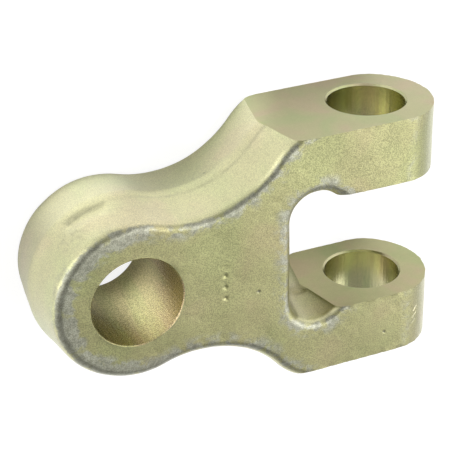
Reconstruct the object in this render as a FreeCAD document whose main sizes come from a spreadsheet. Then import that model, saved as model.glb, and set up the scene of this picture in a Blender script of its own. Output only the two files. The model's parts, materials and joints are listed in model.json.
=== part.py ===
"""Forged yoke: one die forging with a bored eye at one end and a bored fork at the other.

Millimetres.  The origin is the centre of the eye bore: +X runs along the yoke towards
the fork, Y is the axis of the pin through the fork and Z is the axis of the eye bore.
The yoke lies on one of its two flat forged faces, because it tips when it is stood on an
ear.  The dies part on the plane Z = 0.  The forged outlines are drawn on that plane, where
the forging is widest, and draft away from it; the machined faces are cut afterwards.
"""
import FreeCAD, Part
import math
import os
import Sketcher

# Driving sizes in millimetres and degrees, each written once
SIZES = {
    "thickness": 40.0,           # between the two flat forged faces, along Z
    "draft_angle": 7.0,          # forging draft on both sides of the parting plane
    "pin_length": 88.5,          # along X, from the eye bore axis to the fork bore axis
    "eye_radius": 28.9,          # outer radius of the eye at the parting plane
    "eye_bore": 30.0,            # diameter
    "eye_chamfer": 0.3,
    "neck_radius": 33.5,         # hollow between the eye and the fork
    "neck_place": 19.5,          # where the neck is narrowest, from the eye bore axis
    "shoulder_radius": 26.5,     # rounding from the neck to the ear
    "ear_spread": 85.0,          # over the machined outer faces of the ears
    "ear_allowance": 6.0,        # forged stock on each outer face at the parting plane
    "end_excess": 1.8,           # radius of the ears' rounded end over half the thickness
    "ear_blend_radius": 15.0,    # from the rounded end to the forged faces
    "fork_gap": 41.0,            # between the machined inner faces of the ears
    "gap_allowance": 6.0,        # forged stock on each inner face at the parting plane
    "ear_bore": 25.5,            # diameter
    "ear_chamfer": 0.6,
    "root_place": 54.3,          # end wall of the fork slot at the parting plane
    "root_radius": 7.0,          # corners of the end wall
    "relief_depth": 0.5,         # forged relief behind the machined inner faces
    "relief_flat": 1.0,          # flat of the relief between the root corner and its end
    "relief_radius": 6.0,        # rounding from the relief to its ramp
    "ramp_angle": 35.0,          # slope of the ramp from the relief to the inner face
    "lead_radius": 5.0,          # rounding from the ramp to the forged inner face
    "edge_radius": 3.0,          # forged edges of both faces
    "cut_margin": 6.0,           # how far cuts run past the metal
}

doc = FreeCAD.newDocument("forged_yoke")
sheet = doc.addObject("Spreadsheet::Sheet", "Sizes")
for row, (name, value) in enumerate(SIZES.items(), start=1):
    sheet.set("A%d" % row, name)
    sheet.set("B%d" % row, str(value))
    sheet.setAlias("B%d" % row, name)
doc.recompute()


def size(name):
    """Value of one cell of the sheet."""
    return float(sheet.get(name))


def bind(item, prop, expression):
    """Tie a property or a named constraint to the sheet; aliases are written bare."""
    for name in sorted(SIZES, key=len, reverse=True):
        expression = expression.replace("{%s}" % name, "Sizes.%s" % name)
    item.setExpression(prop, expression)


body = doc.addObject("PartDesign::Body", "Yoke")
body.Label = "yoke"


def sketch_on(role, name):
    """New sketch of the body on one of its origin planes."""
    sketch = body.newObject("Sketcher::SketchObject", name)
    plane = next(f for f in body.Origin.OriginFeatures if f.Role == role)
    sketch.AttachmentSupport = (plane, [""])
    sketch.MapMode = "FlatFace"
    return sketch


def named(sketch, constraint, name, expression):
    """Add a constraint that the sheet drives."""
    index = sketch.addConstraint(constraint)
    sketch.renameConstraint(index, name)
    bind(sketch, "Constraints." + name, expression)


def point(x, y):
    return FreeCAD.Vector(x, y, 0)


def arc(centre, radius, start, end):
    """Arc of circle, counter-clockwise from start to end, in degrees."""
    circle = Part.Circle(point(*centre), FreeCAD.Vector(0, 0, 1), radius)
    return Part.ArcOfCircle(circle, math.radians(start), math.radians(end))


def join(sketch, *ends):
    """Make two ends meet; both arguments are (piece, end) pairs."""
    (first, first_end), (second, second_end) = ends
    sketch.addConstraint(Sketcher.Constraint("Coincident", first, first_end, second, second_end))


def smooth(sketch, *ends):
    """Make two ends meet and run on in line."""
    (first, first_end), (second, second_end) = ends
    sketch.addConstraint(Sketcher.Constraint("Tangent", first, first_end, second, second_end))


def ear_end_radius():
    """Rounded end of the ears, about the pin axis."""
    return size("thickness") / 2 + size("end_excess")


BLANK_END = "{pin_length} + {thickness} / 2 + {end_excess} + {cut_margin}"
RELIEF_END = "{root_place} + {root_radius} + {relief_flat}"
START, END, CENTRE = range(1, 4)
ORIGIN = (-1, 1)
X_AXIS = -1


def draw_outline():
    """Outline of the forging on the parting plane, seen along the eye bore."""
    sketch = sketch_on("XY_Plane", "ForgedOutline")
    eye, neck, shoulder = size("eye_radius"), size("neck_radius"), size("shoulder_radius")
    top = size("ear_spread") / 2 + size("ear_allowance")
    end = size("pin_length") + ear_end_radius() + size("cut_margin")
    neck_x = size("neck_place")
    neck_z = math.sqrt((eye + neck) ** 2 - neck_x ** 2)
    shoulder_z = top - shoulder
    shoulder_x = neck_x + math.sqrt((neck + shoulder) ** 2 - (neck_z - shoulder_z) ** 2)
    eye_turn = math.degrees(math.atan2(neck_z, neck_x))
    neck_turn = math.degrees(math.atan2(neck_z - shoulder_z, shoulder_x - neck_x))

    rim = sketch.addGeometry(arc((0, 0), eye, eye_turn, 360 - eye_turn))
    neck_up = sketch.addGeometry(arc((neck_x, neck_z), neck, 180 + eye_turn, 360 - neck_turn))
    shoulder_up = sketch.addGeometry(arc((shoulder_x, shoulder_z), shoulder, 90, 180 - neck_turn))
    line_up = sketch.addGeometry(Part.LineSegment(point(shoulder_x, top), point(end, top)))
    back = sketch.addGeometry(Part.LineSegment(point(end, top), point(end, -top)))
    line_low = sketch.addGeometry(Part.LineSegment(point(end, -top), point(shoulder_x, -top)))
    shoulder_low = sketch.addGeometry(
        arc((shoulder_x, -shoulder_z), shoulder, 180 + neck_turn, 270))
    neck_low = sketch.addGeometry(arc((neck_x, -neck_z), neck, neck_turn, 180 - eye_turn))

    join(sketch, (rim, CENTRE), ORIGIN)
    smooth(sketch, (rim, START), (neck_up, START))
    smooth(sketch, (neck_up, END), (shoulder_up, END))
    smooth(sketch, (shoulder_up, START), (line_up, START))
    join(sketch, (line_up, END), (back, START))
    join(sketch, (back, END), (line_low, START))
    smooth(sketch, (line_low, END), (shoulder_low, END))
    smooth(sketch, (shoulder_low, START), (neck_low, START))
    smooth(sketch, (neck_low, END), (rim, END))
    sketch.addConstraint(Sketcher.Constraint("Horizontal", line_up))
    sketch.addConstraint(Sketcher.Constraint("Horizontal", line_low))
    sketch.addConstraint(Sketcher.Constraint("Equal", neck_up, neck_low))
    sketch.addConstraint(Sketcher.Constraint("Equal", shoulder_up, shoulder_low))
    sketch.addConstraint(Sketcher.Constraint("Vertical", neck_up, CENTRE, neck_low, CENTRE))
    sketch.addConstraint(Sketcher.Constraint("Symmetric", back, START, back, END, X_AXIS))

    named(sketch, Sketcher.Constraint("Radius", rim, eye), "eye", "{eye_radius}")
    named(sketch, Sketcher.Constraint("Radius", neck_up, neck), "neck", "{neck_radius}")
    named(sketch, Sketcher.Constraint("Radius", shoulder_up, shoulder),
          "shoulder", "{shoulder_radius}")
    named(sketch, Sketcher.Constraint("DistanceX", *ORIGIN, neck_up, CENTRE, neck_x),
          "neck_place", "{neck_place}")
    named(sketch, Sketcher.Constraint("DistanceX", *ORIGIN, back, START, end),
          "blank_end", BLANK_END)
    named(sketch, Sketcher.Constraint("DistanceY", back, END, back, START, 2 * top),
          "blank_spread", "{ear_spread} + 2 * {ear_allowance}")
    return sketch


def draw_slot():
    """Forged slot between the ears, on the parting plane, with its relief by the root."""
    sketch = sketch_on("XY_Plane", "ForgedSlot")
    root, corner = size("root_place"), size("root_radius")
    relief = size("fork_gap") / 2 + size("relief_depth")
    inner = size("fork_gap") / 2 - size("gap_allowance")
    relief_x, bend = root + corner + size("relief_flat"), size("relief_radius")
    slope, lead = size("ramp_angle"), size("lead_radius")
    sine, cosine = math.sin(math.radians(slope)), math.cos(math.radians(slope))
    end = size("pin_length") + ear_end_radius() + 2 * size("cut_margin")
    ramp_top = (relief_x + bend * sine, relief - bend * (1 - cosine))
    ramp_low_z = inner + lead * (1 - cosine)
    ramp_low_x = ramp_top[0] + (ramp_top[1] - ramp_low_z) * cosine / sine
    lead_x = ramp_low_x + lead * sine

    wall = sketch.addGeometry(Part.LineSegment(
        point(root, relief - corner), point(root, corner - relief)))
    back = sketch.addGeometry(Part.LineSegment(point(end, inner), point(end, -inner)))
    halves = []
    for side in (1, -1):
        def turn(centre, radius, start, stop, side=side):
            """Arc of the upper half, or its mirror image in the lower half."""
            if side > 0:
                return arc(centre, radius, start, stop)
            return arc((centre[0], -centre[1]), radius, 360 - stop, 360 - start)

        pieces = {
            "corner": turn((root + corner, relief - corner), corner, 90, 180),
            "relief": Part.LineSegment(
                point(root + corner, side * relief), point(relief_x, side * relief)),
            "bend": turn((relief_x, relief - bend), bend, 90 - slope, 90),
            "ramp": Part.LineSegment(
                point(ramp_top[0], side * ramp_top[1]), point(ramp_low_x, side * ramp_low_z)),
            "lead": turn((lead_x, inner + lead), lead, 270 - slope, 270),
            "inner": Part.LineSegment(point(lead_x, side * inner), point(end, side * inner)),
        }
        half = {name: sketch.addGeometry(piece) for name, piece in pieces.items()}
        # A mirrored arc runs the other way round, so its two ends change places
        first, last = (START, END) if side > 0 else (END, START)
        wall_end, back_end = (START, START) if side > 0 else (END, END)
        smooth(sketch, (wall, wall_end), (half["corner"], last))
        smooth(sketch, (half["corner"], first), (half["relief"], START))
        smooth(sketch, (half["relief"], END), (half["bend"], last))
        smooth(sketch, (half["bend"], first), (half["ramp"], START))
        smooth(sketch, (half["ramp"], END), (half["lead"], first))
        smooth(sketch, (half["lead"], last), (half["inner"], START))
        join(sketch, (half["inner"], END), (back, back_end))
        sketch.addConstraint(Sketcher.Constraint("Horizontal", half["relief"]))
        sketch.addConstraint(Sketcher.Constraint("Horizontal", half["inner"]))
        halves.append(half)

    upper, lower = halves
    for name in ("corner", "bend", "lead"):
        sketch.addConstraint(Sketcher.Constraint("Equal", upper[name], lower[name]))
    sketch.addConstraint(Sketcher.Constraint("Vertical", wall))
    sketch.addConstraint(Sketcher.Constraint("Symmetric", back, START, back, END, X_AXIS))
    sketch.addConstraint(
        Sketcher.Constraint("Vertical", upper["bend"], CENTRE, lower["bend"], CENTRE))

    named(sketch, Sketcher.Constraint("DistanceX", *ORIGIN, wall, START, root),
          "root", "{root_place}")
    named(sketch, Sketcher.Constraint("Radius", upper["corner"], corner),
          "corner", "{root_radius}")
    named(sketch, Sketcher.Constraint("Radius", upper["bend"], bend),
          "bend", "{relief_radius}")
    named(sketch, Sketcher.Constraint("Radius", upper["lead"], lead),
          "lead", "{lead_radius}")
    named(sketch, Sketcher.Constraint("DistanceX", *ORIGIN, upper["bend"], CENTRE, relief_x),
          "relief_end", RELIEF_END)
    named(sketch, Sketcher.Constraint("DistanceY", *ORIGIN, upper["relief"], START, relief),
          "relief_up", "{fork_gap} / 2 + {relief_depth}")
    named(sketch, Sketcher.Constraint("DistanceY", lower["relief"], START, *ORIGIN, relief),
          "relief_low", "{fork_gap} / 2 + {relief_depth}")
    named(sketch, Sketcher.Constraint("Angle", upper["ramp"], math.radians(-slope)),
          "ramp_up", "-{ramp_angle}")
    named(sketch, Sketcher.Constraint("Angle", lower["ramp"], math.radians(slope)),
          "ramp_low", "{ramp_angle}")
    named(sketch, Sketcher.Constraint("DistanceX", *ORIGIN, back, START, end),
          "slot_end", BLANK_END + " + {cut_margin}")
    named(sketch, Sketcher.Constraint("DistanceY", back, END, back, START, 2 * inner),
          "rough_gap", "{fork_gap} - 2 * {gap_allowance}")
    return sketch


def draw_box(role, name, left, right, low, high):
    """Rectangle for a straight cut; each side is an expression on the sheet."""
    sketch = sketch_on(role, name)

    def value(expression):
        for alias in sorted(SIZES, key=len, reverse=True):
            expression = expression.replace("{%s}" % alias, repr(size(alias)))
        return FreeCAD.Units.Quantity(expression).Value

    x0, x1, y0, y1 = (value(side) for side in (left, right, low, high))
    corners = [point(x0, y0), point(x1, y0), point(x1, y1), point(x0, y1)]
    sides = [sketch.addGeometry(Part.LineSegment(corners[i], corners[(i + 1) % 4]))
             for i in range(4)]
    for i in range(4):
        join(sketch, (sides[i], END), (sides[(i + 1) % 4], START))
        sketch.addConstraint(Sketcher.Constraint("Vertical" if i % 2 else "Horizontal", sides[i]))
    for label, kind, corner, place, expression in (
            ("left", "DistanceX", 0, x0, left), ("low", "DistanceY", 0, y0, low),
            ("right", "DistanceX", 2, x1, right), ("high", "DistanceY", 2, y1, high)):
        named(sketch, Sketcher.Constraint(kind, *ORIGIN, sides[corner], START, place),
              label, expression)
    return sketch


def draw_round(role, name, across, diameter):
    """Circle for a bore, at a distance along the yoke."""
    sketch = sketch_on(role, name)
    centre = point(size(across) if across else 0, 0)
    circle = sketch.addGeometry(
        Part.Circle(centre, FreeCAD.Vector(0, 0, 1), size(diameter) / 2))
    named(sketch, Sketcher.Constraint("Diameter", circle, size(diameter)),
          "bore", "{%s}" % diameter)
    if across:
        sketch.addConstraint(Sketcher.Constraint("PointOnObject", circle, CENTRE, X_AXIS))
        named(sketch, Sketcher.Constraint("DistanceX", *ORIGIN, circle, CENTRE, size(across)),
              "place", "{%s}" % across)
    else:
        join(sketch, (circle, CENTRE), ORIGIN)
    return sketch


def draw_ear_end():
    """What is cut away round the ears' rounded end, seen along the pin."""
    sketch = sketch_on("XZ_Plane", "EarEnd")
    pin, radius = size("pin_length"), ear_end_radius()
    end = pin + radius + 2 * size("cut_margin")
    curve = sketch.addGeometry(arc((pin, 0), radius, -90, 90))
    upper = sketch.addGeometry(Part.LineSegment(point(pin, radius), point(end, radius)))
    back = sketch.addGeometry(Part.LineSegment(point(end, radius), point(end, -radius)))
    lower = sketch.addGeometry(Part.LineSegment(point(end, -radius), point(pin, -radius)))
    smooth(sketch, (curve, END), (upper, START))
    join(sketch, (upper, END), (back, START))
    join(sketch, (back, END), (lower, START))
    smooth(sketch, (lower, END), (curve, START))
    sketch.addConstraint(Sketcher.Constraint("Horizontal", upper))
    sketch.addConstraint(Sketcher.Constraint("Horizontal", lower))
    sketch.addConstraint(Sketcher.Constraint("PointOnObject", curve, CENTRE, X_AXIS))
    sketch.addConstraint(Sketcher.Constraint("Vertical", back))
    named(sketch, Sketcher.Constraint("Radius", curve, radius),
          "end_radius", "{thickness} / 2 + {end_excess}")
    named(sketch, Sketcher.Constraint("DistanceX", *ORIGIN, curve, CENTRE, pin),
          "pin_length", "{pin_length}")
    named(sketch, Sketcher.Constraint("DistanceX", *ORIGIN, back, START, end),
          "end", BLANK_END + " + {cut_margin}")
    return sketch


def checked(feature):
    """Recompute and stop at once if the new feature failed."""
    doc.recompute()
    if not {"Invalid", "Error"}.isdisjoint(feature.State) or feature.Shape.isNull():
        raise RuntimeError("%s failed: %s" % (feature.Name, feature.State))
    return feature


def drafted(kind, name, sketch, taper):
    """Pad or pocket both ways from the parting plane, with draft on both sides."""
    feature = body.newObject("PartDesign::" + kind, name)
    feature.Profile = sketch
    feature.SideType = "Two sides"
    for prop in ("Length", "Length2"):
        bind(feature, prop, "{thickness} / 2")
    for prop in ("TaperAngle", "TaperAngle2"):
        bind(feature, prop, taper)
    return checked(feature)


def straight_cut(name, sketch, length):
    """Pocket through the whole forging, both ways from the sketch."""
    volume = body.Shape.Volume
    feature = body.newObject("PartDesign::Pocket", name)
    feature.Profile = sketch
    feature.SideType = "Symmetric"
    bind(feature, "Length", length)
    checked(feature)
    if feature.Shape.Volume > volume - 1:
        raise RuntimeError(name + " cuts nothing")
    return feature


def edges_where(feature, test):
    """Names of the edges of a feature whose sampled points all pass a test."""
    names = []
    for index, edge in enumerate(feature.Shape.Edges, start=1):
        first, last = edge.ParameterRange
        samples = [edge.valueAt(first + (last - first) * step / 4) for step in range(5)]
        if all(test(sample) for sample in samples):
            names.append("Edge%d" % index)
    if not names:
        raise RuntimeError("no edge found after " + feature.Name)
    return names


def dress(kind, name, base, edges, prop, alias):
    """Fillet or chamfer on chosen edges."""
    feature = body.newObject("PartDesign::" + kind, name)
    feature.Base = (base, edges)
    bind(feature, prop, "{%s}" % alias)
    return checked(feature)


NEAR = 1e-4


def build_yoke():
    """The forging first, then the machined faces and the bores."""
    half = size("thickness") / 2
    pin = size("pin_length")
    blank_end = pin + ear_end_radius() + size("cut_margin")

    drafted("Pad", "Forging", draw_outline(), "-{draft_angle}")
    slot = drafted("Pocket", "ForkSlot", draw_slot(), "{draft_angle}")
    forged_rim = edges_where(
        slot, lambda p: abs(abs(p.z) - half) < NEAR and p.x < blank_end + NEAR)
    end_rim = edges_where(slot, lambda p: abs(p.x - blank_end) < 1)
    forged = dress("Fillet", "ForgedEdges", slot,
                   [name for name in forged_rim if name not in end_rim],
                   "Radius", "edge_radius")
    straight_cut("EarEndCut", draw_ear_end(), "{ear_spread} + 4 * {ear_allowance}")

    through = "{thickness} + 2 * {cut_margin}"
    face = "{ear_spread} / 2"
    far = "%s + {ear_allowance} + {cut_margin}" % face
    right = BLANK_END + " + {cut_margin}"
    straight_cut("UpperFaceCut", draw_box(
        "XY_Plane", "UpperFace", "{neck_place}", right, face, far), through)
    straight_cut("LowerFaceCut", draw_box(
        "XY_Plane", "LowerFace", "{neck_place}", right, "-(%s)" % far, "-" + face), through)
    gap = straight_cut("GapCut", draw_box(
        "XY_Plane", "Gap", RELIEF_END, right, "-{fork_gap} / 2", "{fork_gap} / 2"), through)

    corner = pin + math.sqrt(ear_end_radius() ** 2 - half ** 2)
    blended = dress("Fillet", "EarBlend", gap, edges_where(
        gap, lambda p: abs(abs(p.z) - half) < NEAR and abs(p.x - corner) < NEAR),
        "Radius", "ear_blend_radius")

    straight_cut("EyeBoreCut", draw_round("XY_Plane", "EyeBore", "", "eye_bore"), through)
    bored = straight_cut("EarBoreCut", draw_round("XZ_Plane", "EarBore", "pin_length", "ear_bore"),
                         "{ear_spread} + 2 * {cut_margin}")

    def on_ear_rim(p):
        on_face = min(abs(abs(p.y) - size("ear_spread") / 2), abs(abs(p.y) - size("fork_gap") / 2))
        return on_face < NEAR and abs(math.hypot(p.x - pin, p.z) - size("ear_bore") / 2) < NEAR

    chamfered = dress("Chamfer", "EarChamfers", bored, edges_where(bored, on_ear_rim),
                      "Size", "ear_chamfer")
    dress("Chamfer", "EyeChamfers", chamfered, edges_where(
        chamfered, lambda p: abs(abs(p.z) - half) < NEAR
        and abs(math.hypot(p.x, p.y) - size("eye_bore") / 2) < NEAR), "Size", "eye_chamfer")


def write_parts():
    """Check the whole document, then write one file for each body."""
    doc.recompute()
    for item in doc.Objects:
        if not {"Invalid", "Error"}.isdisjoint(item.State):
            raise RuntimeError("%s failed: %s" % (item.Name, item.State))
    if body.Shape.isNull() or not body.Shape.isValid() or len(body.Shape.Solids) != 1:
        raise RuntimeError("the yoke is not one valid solid")
    os.makedirs("parts", exist_ok=True)
    body.Shape.exportStep("parts/%s.step" % body.Label)
    centre = body.Shape.CenterOfGravity
    print("volume %.0f mm3, centre of mass %.2f, %.2f, %.2f" % (
        body.Shape.Volume, centre.x, centre.y, centre.z))


build_yoke()
write_parts()
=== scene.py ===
import json
import math

import bmesh
import bpy
from bpy.props import FloatProperty, FloatVectorProperty, PointerProperty
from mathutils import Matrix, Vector, noise
from mathutils.kdtree import KDTree


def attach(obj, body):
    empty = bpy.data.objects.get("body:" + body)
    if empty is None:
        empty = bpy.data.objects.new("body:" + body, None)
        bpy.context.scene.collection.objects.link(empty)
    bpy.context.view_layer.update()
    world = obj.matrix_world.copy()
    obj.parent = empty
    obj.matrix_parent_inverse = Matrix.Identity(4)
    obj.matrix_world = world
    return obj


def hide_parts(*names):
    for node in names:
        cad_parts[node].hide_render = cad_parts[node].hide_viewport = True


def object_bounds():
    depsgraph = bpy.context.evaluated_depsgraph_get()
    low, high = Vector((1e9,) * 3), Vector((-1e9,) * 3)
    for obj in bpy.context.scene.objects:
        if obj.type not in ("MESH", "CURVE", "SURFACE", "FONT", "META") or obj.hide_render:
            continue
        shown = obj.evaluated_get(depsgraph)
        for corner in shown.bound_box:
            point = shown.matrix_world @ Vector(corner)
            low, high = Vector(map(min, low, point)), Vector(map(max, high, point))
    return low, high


bl_info = {
    "name": "Forged Yoke Finish",
    "version": (1, 0, 0),
    "blender": (4, 5, 0),
    "location": "View3D > Sidebar > Yoke",
    "description": "Dresses a forged yoke in its blasted and machined zinc finish",
    "category": "Object",
}

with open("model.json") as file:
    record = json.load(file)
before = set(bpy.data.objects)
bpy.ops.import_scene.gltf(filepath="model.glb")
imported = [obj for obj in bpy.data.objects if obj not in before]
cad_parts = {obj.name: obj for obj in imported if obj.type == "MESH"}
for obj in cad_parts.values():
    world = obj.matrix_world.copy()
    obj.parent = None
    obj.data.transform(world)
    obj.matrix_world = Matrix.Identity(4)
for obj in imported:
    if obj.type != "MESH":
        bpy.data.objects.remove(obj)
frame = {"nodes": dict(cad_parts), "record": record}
CAD_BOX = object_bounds()
NODE = "yoke"
MM = 0.001
MOUNTS = {mount["name"]: mount for mount in frame["record"]["mounts"]}
EYE_RADIUS = MOUNTS["eye_bore"]["dims"]["r_mm"] * MM
PIN_RADIUS = MOUNTS["fork_bore"]["dims"]["r_mm"] * MM
PIN_PLACE = MOUNTS["fork_bore"]["pos_m"][0]
OUTER_FACE = MOUNTS["ear_outer_face_left"]["pos_m"][1]
INNER_FACE = MOUNTS["ear_inner_face_left"]["pos_m"][1]
FLUSH = 0.02 * MM
CHAMFER = 0.75 * MM

# Zones of the surface, which are also the material slots of the skin
FORGED, MACHINED, EYE_WALL, PIN_WALL = range(4)

# Small marks of the forge and of handling, in millimetres: place, radius and depth
PUNCH_DOTS = (((29.0, 2.0, 20.0), 0.60, 0.28),
              ((29.0, -2.0, 20.0), 0.60, 0.28),
              ((29.0, -6.0, 20.0), 0.60, 0.28))
PITS = (((31.6, 28.0, -1.3), 0.40, 0.22),
        ((40.3, -6.5, 20.0), 0.45, 0.20),
        ((86.5, -34.3, 20.0), 0.40, 0.18),
        ((51.0, 12.5, 20.0), 0.35, 0.15))
# Nicks: the middle, and half the stroke
NICKS = (((99.3, -28.9, 18.7), (0.95, 0.85, -0.3)),
         ((98.7, -31.6, 18.8), (0.95, 0.65, -0.3)),
         ((98.5, -33.9, 18.8), (0.85, 0.60, -0.3)))
NICK_WIDTH = 0.28 * MM
NICK_DEPTH = 0.12 * MM
MARK_REACH = 2.2 * MM       # the mesh is fine this far from each mark

# Widths of the rise and the crisp fall of the trimmed flash, and the size of its ragged edge
FLASH_RISE = 2.2 * MM
FLASH_FALL = 0.9 * MM
FLASH_WAVE = 4 * MM

# Where the flash tore beside the eye
SCAR_MIDDLE = Vector((-10.5, 26.0, 0)) * MM
SCAR_LINE = Vector((0.91, 0.42, 0))
SCAR_HALF = 9 * MM
SCAR_FOOT = 3.4 * MM
STAIN_MIDDLE = Vector((-16.5, 21.5, 11)) * MM
STAIN_SIZE = 4.5 * MM

# Scale dimples: where their pattern starts, and the level it has to pass to show
SCALE_SHIFT = Vector((7.3, 1.9, 4.1))
SCALE_LEVEL = 0.15

BORDER_WAVE = 1.7 * MM      # size of the raggedness beside a milled face
SLOT_START = (33 * MM, 36 * MM)    # along X, where the colour of the slot's walls sets in
FLAT_SIDE = 0.5             # a normal leaning less than this in Z belongs to a side
RIM_LEAN = (0.25, 0.97)     # and between these, to a rounded rim
SHARP_TURN = math.radians(24)

# Camera, in millimetres, and the directions of its view
CAMERA_PLACE = (-118.95, 220.46, 364.77)
CAMERA_AHEAD = (0.349, -0.472, -0.810)
CAMERA_RIGHT = (0.913, -0.022, 0.406)

# Soft bright patches of the room: setting, share of it, direction, and cosines where the
# patch starts and where it is full
PATCHES = (("fork_softbox", 1.0, (0.61, -0.09, 0.78), 0.83, 0.985),
           ("eye_softbox", 1.0, (-0.92, 0.26, 0.30), 0.74, 0.94),
           ("back_softbox", 0.6, (0.90, -0.35, 0.25), 0.75, 0.95),
           ("back_softbox", 1.0, (0.58, 0.69, 0.42), 0.72, 0.95))

# Lamps that light the table only: name, middle and radius in millimetres, share of the power
POOLS = (("pool_at_eye", (-9, 38), 30, 1.2),
         ("pool_at_neck", (44, 50), 24, 1.0),
         ("pool_in_gap", (72, -6), 22, 0.4),
         ("pool_in_bore", (-6, 5), 16, 4.6))
LAMP_HEIGHT = 0.5
TABLE_REACH = 60 * MM       # how near the yoke has to be to dim the table's glow


# ---------------------------------------------------------------- settings

class SkinSettings(bpy.types.PropertyGroup):
    """How fine the skin is and how uneven the forging came out of its dies."""
    spacing: FloatProperty(
        name="Mesh spacing", description="Longest edge of the skin's mesh",
        default=1.5 * MM, min=1.2 * MM, unit="LENGTH")
    swell: FloatProperty(
        name="Swell", description="Height of the broad unevenness of forged faces",
        default=0.14 * MM, unit="LENGTH")
    swell_size: FloatProperty(
        name="Swell size", description="Width of the broad unevenness",
        default=13.0 * MM, unit="LENGTH")
    scale_marks: FloatProperty(
        name="Scale marks", description="Depth of the small dimples that scale leaves",
        default=0.045 * MM, unit="LENGTH")
    scale_size: FloatProperty(
        name="Scale mark size", description="Width of those dimples",
        default=2.4 * MM, unit="LENGTH")
    flash: FloatProperty(
        name="Flash stub", description="Height of the trimmed flash along the parting line",
        default=0.34 * MM, unit="LENGTH")
    flash_place: FloatProperty(
        name="Flash place", description="Middle of the trimmed flash above the eye's centre",
        default=2.0 * MM, unit="LENGTH")
    flash_width: FloatProperty(
        name="Flash width", description="Half the width of the trimmed flash",
        default=2.6 * MM, unit="LENGTH")
    scar: FloatProperty(
        name="Trimming scar", description="Depth of the scar where the flash tore at the eye",
        default=0.7 * MM, unit="LENGTH")
    mark_spacing: FloatProperty(
        name="Mesh at marks", description="Longest edge round the small marks",
        default=0.3 * MM, unit="LENGTH")
    border_burr: FloatProperty(
        name="Border burr", description="Raggedness where a forged face meets a milled one",
        default=0.22 * MM, unit="LENGTH")
    grey_reach: FloatProperty(
        name="Thin film reach", description="How far the grey film reaches in from a rounded edge",
        default=7.0 * MM, unit="LENGTH")


class FinishSettings(bpy.types.PropertyGroup):
    """Colours and gloss of the yellow zinc finish."""
    film: FloatVectorProperty(
        name="Flat film", description="Film colour on the flat forged faces", subtype="COLOR",
        size=4, min=0, max=1, default=(0.336, 0.325, 0.148, 1))
    # The side film is far paler than the flat film: a painted sheen for the light the drafted
    # sides catch.
    sheen_painted_side_film: FloatVectorProperty(
        name="Side film", description="Film colour on the drafted sides", subtype="COLOR",
        size=4, min=0, max=1, default=(0.62, 0.60, 0.345, 1))
    milled_film: FloatVectorProperty(
        name="Milled film", description="Film colour on the milled ear faces", subtype="COLOR",
        size=4, min=0, max=1, default=(0.465, 0.445, 0.218, 1))
    eye_film: FloatVectorProperty(
        name="Eye film", description="Film colour in the bore of the eye", subtype="COLOR",
        size=4, min=0, max=1, default=(0.50, 0.45, 0.235, 1))
    pin_film: FloatVectorProperty(
        name="Pin bore film", description="Film colour in the pin bores", subtype="COLOR",
        size=4, min=0, max=1, default=(0.58, 0.57, 0.32, 1))
    thin_film: FloatVectorProperty(
        name="Thin film", description="Grey-blue colour beside worn edges", subtype="COLOR",
        size=4, min=0, max=1, default=(0.34, 0.345, 0.285, 1))
    green_cast: FloatVectorProperty(
        name="Green cast", description="Tint where the film shows green", subtype="COLOR",
        size=4, min=0, max=2, default=(0.90, 1.01, 0.90, 1))
    rose_cast: FloatVectorProperty(
        name="Rose cast", description="Tint where the film shows pink", subtype="COLOR",
        size=4, min=0, max=2, default=(1.08, 0.94, 1.10, 1))
    grain_size: FloatProperty(
        name="Grain size", description="Size of the blasted grain",
        default=0.30 * MM, unit="LENGTH")
    forged_gloss: FloatProperty(
        name="Forged roughness", description="Roughness of the blasted skin",
        default=0.33, min=0, max=1, subtype="FACTOR")
    machined_gloss: FloatProperty(
        name="Machined roughness", description="Roughness of the milled faces",
        default=0.30, min=0, max=1, subtype="FACTOR")
    bore_gloss: FloatProperty(
        name="Bore roughness", description="Roughness of the bored walls",
        default=0.26, min=0, max=1, subtype="FACTOR")


class StageSettings(bpy.types.PropertyGroup):
    """Floor, lights and camera."""
    floor_size: FloatProperty(
        name="Floor", description="Side of the square floor", default=6.0, unit="LENGTH")
    ceiling: FloatProperty(
        name="Ceiling", description="Brightness of the dim ceiling of the room",
        default=0.38, min=0)
    walls: FloatProperty(
        name="Walls", description="How much brighter the walls are than the ceiling",
        default=0.33, min=0)
    fork_softbox: FloatProperty(
        name="Softbox at the fork", description="Brightness of the high softbox",
        default=2.9, min=0)
    eye_softbox: FloatProperty(
        name="Softbox at the eye", description="Brightness of the low softbox",
        default=1.5, min=0)
    back_softbox: FloatProperty(
        name="Softbox behind", description="Brightness of the faint softbox past the fork",
        default=0.55, min=0)
    table_glow: FloatProperty(
        name="Table glow", description="Brightness that the table adds in reflections",
        default=0.50, min=0)
    pools: FloatProperty(
        name="Pools of light", description="Power of the lamps that only light the table",
        default=8.0, min=0)
    lens: FloatProperty(
        name="Lens", description="Focal length", default=111.4, subtype="DISTANCE_CAMERA")


# ---------------------------------------------------------------- skin

def zone_of(centre, normal):
    """Which finish a face of the CAD model has, from where it lies."""
    if math.hypot(centre.x, centre.y) < EYE_RADIUS + CHAMFER / 2 and abs(normal.z) < 0.9:
        return EYE_WALL
    if math.hypot(centre.x - PIN_PLACE, centre.z) < PIN_RADIUS + CHAMFER and abs(normal.y) < 0.9:
        return PIN_WALL
    if abs(normal.y) > 0.999 and centre.x > EYE_RADIUS:
        height = abs(centre.y)
        if min(abs(height - OUTER_FACE), abs(height - INNER_FACE)) < FLUSH:
            return MACHINED
    return FORGED


def split_long_edges(mesh, spacing):
    """Halve edges, the longest first, until few are longer than the spacing."""
    for doublings in (4, 3, 2, 1, 0):
        limit = spacing * 2 ** doublings
        for _ in range(2):
            long_edges = [edge for edge in mesh.edges if edge.calc_length() > limit]
            bmesh.ops.subdivide_edges(mesh, edges=long_edges, cuts=1)
            bmesh.ops.triangulate(mesh, faces=[f for f in mesh.faces if len(f.verts) > 3])


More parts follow.
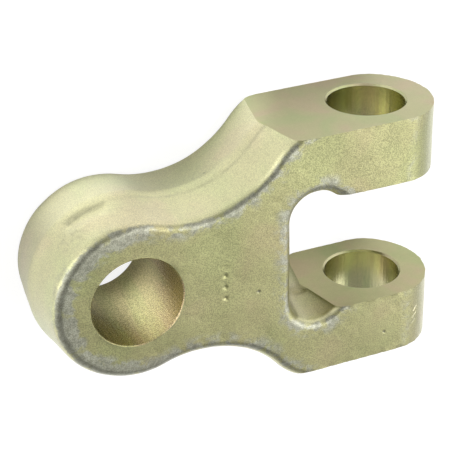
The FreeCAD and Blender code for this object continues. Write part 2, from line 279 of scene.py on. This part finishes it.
def split_near_marks(mesh, spacing):
    """Split the mesh finely round the small marks."""
    places = [Vector(mark[0]) * MM for mark in PUNCH_DOTS + PITS + NICKS]
    for limit in (2 * spacing, 2 * spacing, spacing):
        near = [edge for edge in mesh.edges if edge.calc_length() > limit and any(
            (edge.verts[0].co - place).length < MARK_REACH for place in places)]
        bmesh.ops.subdivide_edges(mesh, edges=near, cuts=1)
        bmesh.ops.triangulate(mesh, faces=[f for f in mesh.faces if len(f.verts) > 3])


def drop_folded_faces(mesh):
    """Remove pairs of sliver faces that lie back to back on the same corners."""
    single = {}
    folded = []
    for face in mesh.faces:
        corners = frozenset(face.verts)
        if corners in single:
            folded += [face, single.pop(corners)]
        else:
            single[corners] = face
    bmesh.ops.delete(mesh, geom=folded, context="FACES")


def smooth_step(value, low, high):
    """Smooth rise from 0 to 1 as the value goes from low to high."""
    part = min(1.0, max(0.0, (value - low) / (high - low)))
    return part * part * (3 - 2 * part)


def wander(place):
    """How far the edge of the flash strays up or down at a place."""
    return noise.noise(Vector((place.x, place.y, 0)) / FLASH_WAVE) * 0.5 * MM


def flash_stub(place, skin):
    """Land of the trimmed flash: a soft rise, a flat, and a crisp ragged fall."""
    broad = 0.65 + 0.7 * noise.noise(Vector((place.x, place.y, 5 * MM)) / (16 * MM))
    above = place.z - skin.flash_place + wander(place)
    width = skin.flash_width
    rise = smooth_step(above, -width, -width + FLASH_RISE)
    fall = 1 - smooth_step(above, width - FLASH_FALL, width)
    outside = 1.0 if place.x < PIN_PLACE - PIN_RADIUS * 2 or abs(place.y) > INNER_FACE else 0.4
    outside *= 0.45 + 0.55 * smooth_step(place.x, -10 * MM, 12 * MM)
    return skin.flash * rise * fall * broad * outside


def trimming_scar(place, skin):
    """Long shallow scar below the flash on the eye, deepest along its upper edge."""
    along = (place - SCAR_MIDDLE).dot(SCAR_LINE)
    if place.y < 0 or abs(along) > SCAR_HALF:
        return 0.0
    end = 1 - smooth_step(abs(along), 5.0 * MM, 8.5 * MM)
    below = place.z - SCAR_FOOT - 0.10 * along + noise.noise(place / (3 * MM)) * 0.4 * MM
    return -skin.scar * end * smooth_step(below, 0, 1.1 * MM) * (
        1 - smooth_step(below, 1.6 * MM, 7.0 * MM))


def painted_shade_and_stain_share(place, skin):
    """How much painted shade a place gets along the flash's crisp fall and the scar's upper edge,
    plus a real stain by the scar, from 0 to 1.
    """
    above = place.z - skin.flash_place + wander(place) - skin.flash_width + 0.45 * MM
    broken = smooth_step(noise.noise(Vector((place.x, place.y, 0)) / (9 * MM)), -0.6, 0.1)
    broken *= smooth_step(place.x, -8 * MM, 12 * MM)
    line = 0.5 * broken * math.exp(-(above / (0.5 * MM)) ** 2)
    edge = math.exp(-((place.z - 4.2 * MM) / (1.3 * MM)) ** 2) * -trimming_scar(
        place + Vector((0, 0, 0.8 * MM)), skin) / skin.scar
    patchy = smooth_step(noise.noise(place / (1.5 * MM)), -0.3, 0.4)
    stain = math.exp(-((place - STAIN_MIDDLE).length / STAIN_SIZE) ** 2)
    return min(1.0, line + edge * (0.3 + 0.4 * patchy) + 0.55 * stain * patchy)


def near_marks(marks, place):
    """Each mark that is near a place, with how deep into it the place is, from 0 to 1."""
    for middle, radius, depth in marks:
        distance = (place - Vector(middle) * MM).length
        if distance < 3 * radius * MM:
            yield depth * MM, math.exp(-(distance / (radius * MM)) ** 2)


def nick_share(place):
    """How far inside a nick a place is, from 0 to 1."""
    share = 0.0
    for middle, half in NICKS:
        half = Vector(half) * MM
        offset = place - Vector(middle) * MM
        along = max(-1.0, min(1.0, offset.dot(half) / half.length_squared))
        share = max(share, 1 - (offset - half * along).length / NICK_WIDTH)
    return share


def height_of_forging(place, normal, skin):
    """How far the forged surface stands off its drawing at a place."""
    height = noise.noise(place / skin.swell_size) * skin.swell
    scale = noise.noise(place / skin.scale_size + SCALE_SHIFT)
    height -= max(0.0, scale - SCALE_LEVEL) * skin.scale_marks * 2
    if abs(normal.z) < FLAT_SIDE:
        height += flash_stub(place, skin) + trimming_scar(place, skin)
    for depth, share in near_marks(PUNCH_DOTS + PITS, place):
        height -= depth * share
    return height - NICK_DEPTH * nick_share(place)


def zone_normals(vertex):
    """Mean normal of the forged faces round a vertex, and the normals of the others."""
    forged = Vector()
    others = []
    for face in vertex.link_faces:
        if face.material_index == FORGED:
            forged += face.normal * face.calc_area()
        else:
            others.append(face.normal.copy())
    return forged, others


def emboss_forging(mesh, skin):
    """Move forged vertices; those on a machined border slide along the machined face."""
    moves = []
    for vertex in mesh.verts:
        forged, others = zone_normals(vertex)
        if forged.length < 1e-12:
            continue
        forged.normalize()
        move = forged * height_of_forging(vertex.co, forged, skin)
        if others:
            move += forged * noise.noise(vertex.co / BORDER_WAVE) * skin.border_burr
        for normal in others:
            move -= normal * move.dot(normal)
        moves.append((vertex, move))
    for vertex, move in moves:
        vertex.co += move


def mark_edges(mesh, skin):
    """Float layers: how near a place is to a rounded rim, what is in a pit or nick, and how much
    painted shade, with a stain, lies along the flash and the scar.
    """
    near = mesh.verts.layers.float.new("rim_nearness")
    pit = mesh.verts.layers.float.new("pit")
    nick = mesh.verts.layers.float.new("nick")
    painted_shade_and_stain = mesh.verts.layers.float.new("painted_shade_and_stain")
    rim = []
    for vertex in mesh.verts:
        forged, others = zone_normals(vertex)
        if forged.length < 1e-12:
            continue
        forged.normalize()
        if RIM_LEAN[0] < abs(forged.z) < RIM_LEAN[1]:
            rim.append(vertex.co.copy())
    tree = KDTree(len(rim))
    for index, place in enumerate(rim):
        tree.insert(place, index)
    tree.balance()
    for vertex in mesh.verts:
        distance = tree.find(vertex.co)[2]
        vertex[near] = max(0.0, 1 - distance / skin.grey_reach)
        vertex[pit] = max([share for _, share in near_marks(PITS, vertex.co)], default=0.0)
        vertex[nick] = max(0.0, nick_share(vertex.co))
        if abs(vertex.normal.z) < FLAT_SIDE:
            vertex[painted_shade_and_stain] = painted_shade_and_stain_share(vertex.co, skin)


def build_skin(skin):
    """A fine copy of the CAD surface with its zones marked and its forged parts uneven."""
    source = frame["nodes"][NODE]
    mesh = bmesh.new()
    mesh.from_mesh(source.data)
    mesh.transform(source.matrix_world)
    bmesh.ops.remove_doubles(mesh, verts=mesh.verts, dist=1e-6)
    bmesh.ops.triangulate(mesh, faces=mesh.faces)
    mesh.normal_update()
    for face in mesh.faces:
        face.material_index = zone_of(face.calc_center_median(), face.normal)
        face.smooth = True
    split_long_edges(mesh, skin.spacing)
    split_near_marks(mesh, skin.mark_spacing)
    drop_folded_faces(mesh)
    mesh.normal_update()
    mark_edges(mesh, skin)
    emboss_forging(mesh, skin)
    mesh.normal_update()
    for edge in mesh.edges:
        if len(edge.link_faces) == 2:
            one, two = edge.link_faces
            sharp_turn = one.normal.angle(two.normal, 0) > SHARP_TURN
            edge.smooth = not (sharp_turn and one.material_index != two.material_index)
            if one.material_index == two.material_index != FORGED:
                edge.smooth = not sharp_turn
    data = bpy.data.meshes.new("yoke_skin")
    mesh.to_mesh(data)
    mesh.free()
    piece = bpy.data.objects.new("yoke_skin", data)
    bpy.context.scene.collection.objects.link(piece)
    return piece


# ---------------------------------------------------------------- node helpers

class Tree:
    """Short calls for building one node tree."""

    def __init__(self, tree):
        self.tree = tree

    def node(self, kind, inputs=None, **settings):
        """A node with its settings; inputs maps socket names to values or other sockets."""
        made = self.tree.nodes.new(kind)
        for name, value in settings.items():
            setattr(made, name, value)
        for name, value in (inputs or {}).items():
            self.feed(made.inputs[name], value)
        return made

    def feed(self, socket, value):
        """Link a socket to an input, or set the input to a plain value."""
        if isinstance(value, bpy.types.NodeSocket):
            self.tree.links.new(value, socket)
        else:
            socket.default_value = value

    def math(self, operation, first, second=0.0):
        """One operation on two numbers or sockets."""
        return self.node("ShaderNodeMath", {0: first, 1: second}, operation=operation).outputs[0]

    def noise(self, vector, size, detail=2.0, roughness=0.5, distortion=0.0):
        """Noise whose features are about this size, in metres; from 0 to 1."""
        return self.node("ShaderNodeTexNoise", {
            "Vector": vector, "Scale": self.per(size), "Detail": detail,
            "Roughness": roughness, "Distortion": distortion}).outputs["Fac"]

    def per(self, size):
        """One over a size, which may be a socket."""
        if isinstance(size, bpy.types.NodeSocket):
            return self.math("DIVIDE", 1.0, size)
        return 1.0 / size

    def range(self, value, low, high, to_low=0.0, to_high=1.0):
        """Smoothly map a value from one range to another."""
        made = self.node("ShaderNodeMapRange", {
            "Value": value, "From Min": low, "From Max": high,
            "To Min": to_low, "To Max": to_high}, interpolation_type="SMOOTHSTEP")
        return made.outputs["Result"]

    def mix(self, factor, first, second, blend="MIX"):
        """A blend of two colours by a factor."""
        made = self.node("ShaderNodeMix", data_type="RGBA", blend_type=blend)
        self.feed(made.inputs[0], factor)
        self.feed(made.inputs[6], first)
        self.feed(made.inputs[7], second)
        return made.outputs[2]

    def attribute(self, name):
        """A float layer of the mesh."""
        return self.node("ShaderNodeAttribute", attribute_name=name).outputs["Fac"]


def new_group(name, inputs, outputs):
    """An empty shader node group; inputs and outputs are (name, kind, default) rows."""
    group = bpy.data.node_groups.new(name, "ShaderNodeTree")
    for label, kind, default in inputs:
        socket = group.interface.new_socket(label, in_out="INPUT", socket_type=kind)
        if default is not None:
            socket.default_value = default
    for label, kind in outputs:
        group.interface.new_socket(label, in_out="OUTPUT", socket_type=kind)
    tree = Tree(group)
    return tree, tree.node("NodeGroupInput").outputs, tree.node("NodeGroupOutput").inputs


VECTOR, FLOAT, COLOUR = "NodeSocketVector", "NodeSocketFloat", "NodeSocketColor"


def film_group():
    """Passivate film: its colour drifting to green and to rose in soft patches."""
    tree, given, out = new_group("Passivate Film", [
        ("Vector", VECTOR, None), ("Film", COLOUR, (0.5, 0.48, 0.27, 1)),
        ("Green Cast", COLOUR, (0.88, 1.02, 0.9, 1)), ("Rose Cast", COLOUR, (1, 0.92, 1, 1)),
        ("Patch Size", FLOAT, 0.02), ("Cast", FLOAT, 0.5), ("Mottle", FLOAT, 0.3)],
        [("Color", COLOUR)])
    broad = tree.noise(given["Vector"], given["Patch Size"], 2.0, 0.5, 0.3)
    green = tree.math("MULTIPLY", tree.range(broad, 0.50, 0.34), given["Cast"])
    rose = tree.math("MULTIPLY", tree.range(broad, 0.52, 0.68), given["Cast"])
    white = (1, 1, 1, 1)
    colour = tree.mix(1.0, given["Film"], tree.mix(green, white, given["Green Cast"]), "MULTIPLY")
    colour = tree.mix(1.0, colour, tree.mix(rose, white, given["Rose Cast"]), "MULTIPLY")
    fine = tree.noise(given["Vector"], tree.math("MULTIPLY", given["Patch Size"], 0.3), 4.0, 0.6)
    shade = tree.math("MULTIPLY", tree.range(fine, 0.3, 0.7, -0.18, 0.18), given["Mottle"])
    shade = tree.math("ADD", shade, 1.0)
    tree.feed(out["Color"], tree.mix(1.0, colour, shade, "MULTIPLY"))
    return tree.tree


def grain_group():
    """Blasted grain: a height and a speckle mask from the same pits."""
    tree, given, out = new_group("Blasted Grain", [
        ("Vector", VECTOR, None), ("Size", FLOAT, 0.0006)],
        [("Height", FLOAT), ("Speckle", FLOAT)])
    pits = tree.noise(given["Vector"], given["Size"], 3.0, 0.6)
    coarse = tree.noise(given["Vector"], tree.math("MULTIPLY", given["Size"], 2.2), 2.0, 0.5)
    height = tree.math("ADD", tree.math("MULTIPLY", pits, 0.85),
                       tree.math("MULTIPLY", coarse, 0.15))
    tree.feed(out["Height"], height)
    tree.feed(out["Speckle"], tree.range(height, 0.4, 0.6))
    return tree.tree


def zinc_material(name, roughness, coat):
    """A metal material with constant gloss on its own sockets, and its tree's helper."""
    material = bpy.data.materials.new(name)
    material.use_nodes = True
    shader = material.node_tree.nodes["Principled BSDF"]
    shader.inputs["Metallic"].default_value = 1.0
    shader.inputs["Roughness"].default_value = roughness
    shader.inputs["Coat Weight"].default_value = coat
    shader.inputs["Coat Roughness"].default_value = 0.35
    tree = Tree(material.node_tree)
    vector = tree.node("ShaderNodeTexCoord").outputs["Object"]
    return material, tree, shader.inputs, vector


def place_film(tree, group, vector, finish, film, patch, cast, mottle):
    """The film's colour over a base film, with its patch size, cast and mottle."""
    made = tree.node("ShaderNodeGroup", node_tree=group)
    for name, value in (("Vector", vector), ("Film", film), ("Green Cast", finish.green_cast),
                        ("Rose Cast", finish.rose_cast), ("Patch Size", patch),
                        ("Cast", cast), ("Mottle", mottle)):
        tree.feed(made.inputs[name], value)
    return made.outputs["Color"]


def place_grain(tree, group, vector, size):
    """The grain's height and speckle at a size."""
    made = tree.node("ShaderNodeGroup", {"Vector": vector, "Size": size}, node_tree=group)
    return made.outputs["Height"], made.outputs["Speckle"]


def bump(tree, height, distance, strength=1.0, normal=None):
    """A normal bent by a height, over another normal if one is given."""
    made = tree.node("ShaderNodeBump", {
        "Height": height, "Distance": distance, "Strength": strength})
    if normal is not None:
        tree.feed(made.inputs["Normal"], normal)
    return made.outputs["Normal"]


def forged_material(finish, film, grain):
    """Blasted forged skin: grainy, painted paler on its sides as a sheen, with a thin grey film by
    its rims.
    """
    material, tree, shader, vector = zinc_material("forged_skin", finish.forged_gloss, 0.8)
    facing = tree.node("ShaderNodeTexCoord").outputs["Normal"]
    lift = tree.math("ABSOLUTE", tree.node("ShaderNodeSeparateXYZ", {0: facing}).outputs["Z"])
    flat = tree.range(lift, 0.55, 0.95)
    place = tree.node("ShaderNodeSeparateXYZ", {0: vector}).outputs
    across = tree.math("ABSOLUTE", place["Y"])
    in_slot = tree.math("MULTIPLY", tree.range(place["X"], *SLOT_START),
                        tree.range(across, INNER_FACE + 1 * MM, INNER_FACE))
    # Painted sheen: drafted sides take the paler side film, flat faces and the slot's walls the
    # flat film.
    base = tree.mix(tree.math("MAXIMUM", flat, in_slot), finish.sheen_painted_side_film, finish.film)
    colour = place_film(tree, film, vector, finish, base, 22 * MM, 0.45, 0.15)
    height, speckle = place_grain(tree, grain, vector, finish.grain_size)
    near = tree.attribute("rim_nearness")
    at_eye = tree.range(place["X"], 12 * MM, -14 * MM, 0.42, 1.0)
    at_eye = tree.math("MULTIPLY", at_eye, tree.range(lift, 0.5, 0.99, 0.2, 1.0))
    at_eye = tree.math("MULTIPLY", at_eye, tree.range(place["X"], 93 * MM, 98 * MM, 1.0, 0.3))
    patches = tree.noise(vector, 5 * MM, 4.0, 0.65, 0.5)
    spread = tree.math("MULTIPLY", near, tree.range(patches, 0.36, 0.62, 0.3, 1.5))
    thin = tree.range(tree.math("MULTIPLY", spread, at_eye), 0.12, 0.5)
    blotch = tree.range(tree.noise(vector, 1.6 * MM, 3.0, 0.6), 0.35, 0.65, 0.72, 1.15)
    grey = tree.mix(1.0, finish.thin_film, blotch, "MULTIPLY")
    colour = tree.mix(tree.math("MULTIPLY", thin, 0.8), colour, grey)
    contrast = tree.mix(flat, (0.88, 0.88, 0.88, 1), (0.70, 0.70, 0.70, 1))
    shade = tree.mix(speckle, contrast, (1.17, 1.17, 1.17, 1))
    colour = tree.mix(1.0, colour, shade, "MULTIPLY")
    # Painted shade: dark along the flash's crisp fall and the scar's upper edge, mixed with a real
    # stain beside the scar.
    painted_shade_and_stain = tree.math("MULTIPLY", tree.attribute("painted_shade_and_stain"), 0.7)
    colour = tree.mix(painted_shade_and_stain, colour, (0.22, 0.21, 0.15, 1))
    colour = tree.mix(tree.attribute("nick"), colour, (0.82, 0.78, 0.55, 1))
    # Pits painted nearly black: painted shade in dimples too shallow to shade themselves.
    colour = tree.mix(tree.attribute("pit"), colour, (0.17, 0.17, 0.12, 1))
    tree.feed(shader["Base Color"], colour)
    tree.feed(shader["Roughness"], tree.range(
        speckle, 0.0, 1.0, finish.forged_gloss + 0.08, finish.forged_gloss - 0.04))
    tree.feed(shader["Normal"], bump(tree, height, 0.08 * MM))
    return material


def machined_material(finish, film, grain):
    """Milled ear faces: smooth satin with a faint iridescent drift."""
    material, tree, shader, vector = zinc_material("milled_face", finish.machined_gloss, 0.5)
    colour = place_film(tree, film, vector, finish, finish.milled_film, 15 * MM, 0.9, 0.12)
    height, speckle = place_grain(tree, grain, vector, finish.grain_size)
    colour = tree.mix(1.0, colour, tree.range(speckle, 0.0, 1.0, 0.96, 1.03), "MULTIPLY")
    tree.feed(shader["Base Color"], colour)
    tree.feed(shader["Normal"], bump(tree, height, 0.015 * MM))
    return material


def bore_material(name, colour, finish, film, grain, axis, size, depth, contrast):
    """Bored wall: fine rings round the axis over what is left of the grain."""
    material, tree, shader, vector = zinc_material(name, finish.bore_gloss, 0.1)
    place = tree.node("ShaderNodeSeparateXYZ", {0: vector}).outputs
    drawn = tree.node("ShaderNodeCombineXYZ", {
        key: place[key] if key != axis else tree.math("MULTIPLY", place[key], 0.15)
        for key in "XYZ"}).outputs[0]
    colour = place_film(tree, film, drawn, finish, colour, 9 * MM, 0.7, 0.3)
    line = tree.node("ShaderNodeCombineXYZ", {axis: place[axis]}).outputs[0]
    rings = tree.noise(line, 0.25 * MM, 2.0, 0.6)
    height, speckle = place_grain(tree, grain, vector, size)
    shade = tree.range(speckle, 0.0, 1.0, 1 - contrast, 1 + 0.6 * contrast)
    tree.feed(shader["Base Color"], tree.mix(1.0, colour, shade, "MULTIPLY"))
    ringed = bump(tree, rings, 0.010 * MM)
    tree.feed(shader["Normal"], bump(tree, height, depth, 1.0, ringed))
    return material


# ---------------------------------------------------------------- stage

def add_floor(stage):
    """White table top under the yoke, which keeps its shadow; in reflections its glow is dimmed
    round the yoke, a painted shadow.
    """
    bpy.ops.mesh.primitive_plane_add(size=stage.floor_size, location=(0, 0, CAD_BOX[0][2]))
    floor = bpy.context.object
    floor.name = "floor"
    material = bpy.data.materials.new("white_table")
    material.use_nodes = True
    nodes = material.node_tree
    nodes.nodes.clear()
    tree = Tree(nodes)
    path = tree.node("ShaderNodeLightPath").outputs
    white = (1, 1, 1, 1)
    # Painted shadow: the glow seen in reflections is dimmed by ambient occlusion near the yoke.
    shadow_painting_ao = tree.node("ShaderNodeAmbientOcclusion", {"Distance": TABLE_REACH}).outputs["AO"]
    glow = tree.math("MULTIPLY", tree.range(shadow_painting_ao, 0.35, 1.0, 0.35, 1.0), stage.table_glow)
    lit = tree.node("ShaderNodeAddShader", {
        0: tree.node("ShaderNodeBsdfDiffuse", {"Color": (0.55, 0.55, 0.55, 1)}).outputs[0],
        1: tree.node("ShaderNodeEmission", {"Color": white, "Strength": glow}).outputs[0]})
    seen = tree.node("ShaderNodeAddShader", {
        0: tree.node("ShaderNodeBsdfDiffuse", {"Color": (0.24, 0.24, 0.24, 1)}).outputs[0],
        1: tree.node("ShaderNodeEmission", {"Color": white, "Strength": 0.86}).outputs[0]})
    plain = tree.node("ShaderNodeBsdfDiffuse", {"Color": (0.80, 0.80, 0.80, 1)})
    mirrored = tree.math("MAXIMUM", path["Is Glossy Ray"], path["Is Transmission Ray"])
    mixed = tree.node("ShaderNodeMixShader", {0: mirrored, 1: plain.outputs[0],
                                             2: lit.outputs[0]})
    mixed = tree.node("ShaderNodeMixShader", {0: path["Is Camera Ray"], 1: mixed.outputs[0],
                                             2: seen.outputs[0]})
    out = tree.node("ShaderNodeOutputMaterial")
    tree.feed(out.inputs["Surface"], mixed.outputs[0])
    floor.data.materials.append(material)


def add_room(stage):
    """Room with a dim ceiling, paler walls and four soft bright patches."""
    world = bpy.data.worlds.new("studio_room")
    world.use_nodes = True
    bpy.context.scene.world = world
    nodes = world.node_tree
    nodes.nodes.clear()
    tree = Tree(nodes)
    facing = tree.node("ShaderNodeTexCoord").outputs["Generated"]
    height = tree.node("ShaderNodeSeparateXYZ", {0: facing}).outputs["Z"]
    level = tree.range(height, 0.65, 0.15, stage.ceiling, stage.ceiling + stage.walls)
    for setting, share, toward, edge, core in PATCHES:
        facing_it = tree.node("ShaderNodeVectorMath", {
            0: facing, 1: Vector(toward).normalized()}, operation="DOT_PRODUCT")
        power = share * getattr(stage, setting)
        patch = tree.range(facing_it.outputs["Value"], edge, core, 0.0, power)
        level = tree.math("ADD", level, patch)
    back = tree.node("ShaderNodeBackground", {"Color": (1, 1, 1, 1), "Strength": level})
    out = tree.node("ShaderNodeOutputWorld")
    tree.feed(out.inputs["Surface"], back.outputs[0])


def add_pool(name, place, radius, power):
    """A lamp straight above that lights a round pool of the table, and no metal."""
    light = bpy.data.lights.new(name, "SPOT")
    light.energy = power
    light.spot_blend = 1.0
    light.shadow_soft_size = 2 * MM
    lamp = bpy.data.objects.new(name, light)
    lamp.location = place + Vector((0, 0, LAMP_HEIGHT))
    light.spot_size = 2 * math.atan(radius / LAMP_HEIGHT)
    lamp.visible_glossy = False
    bpy.context.scene.collection.objects.link(lamp)


def add_camera(stage):
    """A long lens that looks down on the yoke from beyond its eye."""
    camera = bpy.data.objects.new("camera", bpy.data.cameras.new("camera"))
    camera.data.lens = stage.lens
    camera.location = Vector(CAMERA_PLACE) * MM
    ahead = Vector(CAMERA_AHEAD).normalized()
    right = Vector(CAMERA_RIGHT)
    right = (right - ahead * right.dot(ahead)).normalized()
    up = right.cross(ahead)
    matrix = camera.matrix_world.to_3x3()
    for row in range(3):
        matrix[row] = (right[row], up[row], -ahead[row])
    camera.rotation_euler = matrix.to_euler()
    bpy.context.scene.collection.objects.link(camera)
    bpy.context.scene.camera = camera


# ---------------------------------------------------------------- operators

class YOKE_OT_skin(bpy.types.Operator):
    """Build the fine skin of the forging over its CAD solid"""
    bl_idname = "yoke.skin"
    bl_label = "Build Skin"

    def execute(self, context):
        piece = build_skin(context.scene.yoke_skin)
        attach(piece, "root")
        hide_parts(NODE)
        return {"FINISHED"}


class YOKE_OT_finish(bpy.types.Operator):
    """Give each zone of the skin its zinc finish"""
    bl_idname = "yoke.finish"
    bl_label = "Apply Finish"

    def execute(self, context):
        finish = context.scene.yoke_finish
        film, grain = film_group(), grain_group()
        slots = bpy.data.objects["yoke_skin"].data.materials
        slots.append(forged_material(finish, film, grain))
        slots.append(machined_material(finish, film, grain))
        slots.append(bore_material(
            "eye_wall", finish.eye_film, finish, film, grain, "Z",
            0.45 * MM, 0.13 * MM, 0.26))
        slots.append(bore_material(
            "pin_wall", finish.pin_film, finish, film, grain, "Y",
            0.38 * MM, 0.004 * MM, 0.08))
        return {"FINISHED"}


class YOKE_OT_stage(bpy.types.Operator):
    """Set the table, the soft lights and the camera"""
    bl_idname = "yoke.stage"
    bl_label = "Set Stage"

    def execute(self, context):
        stage = context.scene.yoke_stage
        add_floor(stage)
        add_room(stage)
        for name, middle, radius, share in POOLS:
            add_pool(name, Vector((*middle, 0)) * MM, radius * MM, share * stage.pools)
        add_camera(stage)
        return {"FINISHED"}


class YOKE_PT_panel(bpy.types.Panel):
    """Sidebar panel that lists the steps"""
    bl_idname = "YOKE_PT_panel"
    bl_label = "Forged Yoke"
    bl_space_type = "VIEW_3D"
    bl_region_type = "UI"
    bl_category = "Yoke"

    def draw(self, context):
        for title, settings, operator in (
                ("Skin", context.scene.yoke_skin, YOKE_OT_skin),
                ("Finish", context.scene.yoke_finish, YOKE_OT_finish),
                ("Stage", context.scene.yoke_stage, YOKE_OT_stage)):
            box = self.layout.box()
            box.label(text=title)
            for name in settings.__annotations__:
                box.prop(settings, name)
            box.operator(operator.bl_idname)


CLASSES = (SkinSettings, FinishSettings, StageSettings,
           YOKE_OT_skin, YOKE_OT_finish, YOKE_OT_stage, YOKE_PT_panel)


def register():
    for item in CLASSES:
        bpy.utils.register_class(item)
    bpy.types.Scene.yoke_skin = PointerProperty(type=SkinSettings)
    bpy.types.Scene.yoke_finish = PointerProperty(type=FinishSettings)
    bpy.types.Scene.yoke_stage = PointerProperty(type=StageSettings)


def unregister():
    del bpy.types.Scene.yoke_stage
    del bpy.types.Scene.yoke_finish
    del bpy.types.Scene.yoke_skin
    for item in reversed(CLASSES):
        bpy.utils.unregister_class(item)


def main():
    register()
    bpy.context.scene.view_settings.view_transform = "Standard"
    bpy.ops.yoke.skin()
    bpy.ops.yoke.finish()
    bpy.ops.yoke.stage()


if __name__ == "__main__":
    main()
